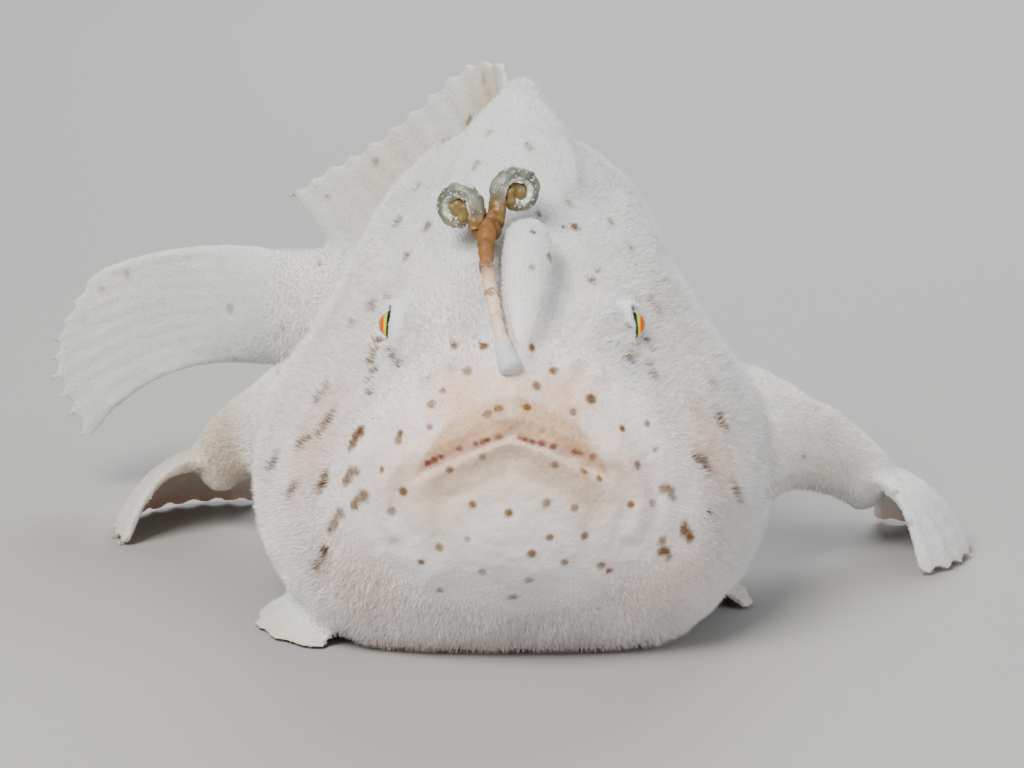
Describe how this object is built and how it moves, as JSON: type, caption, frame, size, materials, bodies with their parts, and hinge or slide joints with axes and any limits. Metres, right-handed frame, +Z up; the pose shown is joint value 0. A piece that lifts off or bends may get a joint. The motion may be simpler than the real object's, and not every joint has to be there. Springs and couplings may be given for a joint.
{
  "type": "frogfish display model",
  "caption": "Life-size still model of a small white frogfish resting on its belly and fins, tail curled to its right, with a worm-like lure over the snout.",
  "frame": {"origin": "on the floor, in the middle of the flat of the belly", "axes": "+Z up from the floor, -Y the way the fish faces, +X the fish's left; the tail curls to -X"},
  "size_m": [0.062, 0.0433, 0.0325],
  "materials": {
    "skin": "matte white skin with a fine fuzz, peach round the lips and small brown spots",
    "fin": "matte grey-white membrane over raised rays, ochre at the roots",
    "lure_rod": "matte orange-brown with darker bands",
    "lure_worm": "moist olive grey with pale grainy edges",
    "eye": "wet, gold to orange and green round a dark pupil"
  },
  "bodies": {
    "root": {"head": "skin", "lower_jaw": "skin", "trunk": "skin", "tail_stalk": "skin", "second_dorsal_spine": "skin", "third_dorsal_spine": "skin", "pectoral_arm_left": "skin", "pectoral_arm_right": "skin", "pectoral_hand_left": "fin", "pectoral_hand_right": "fin", "pelvic_fin_left": "fin", "pelvic_fin_right": "fin", "soft_dorsal_fin": "fin", "anal_fin": "fin", "caudal_fin": "fin", "illicium": "lure_rod", "esca_worm_left": "lure_worm", "esca_worm_right": "lure_worm", "eye_left": "eye", "eye_right": "eye"}
  },
  "joints": []
}
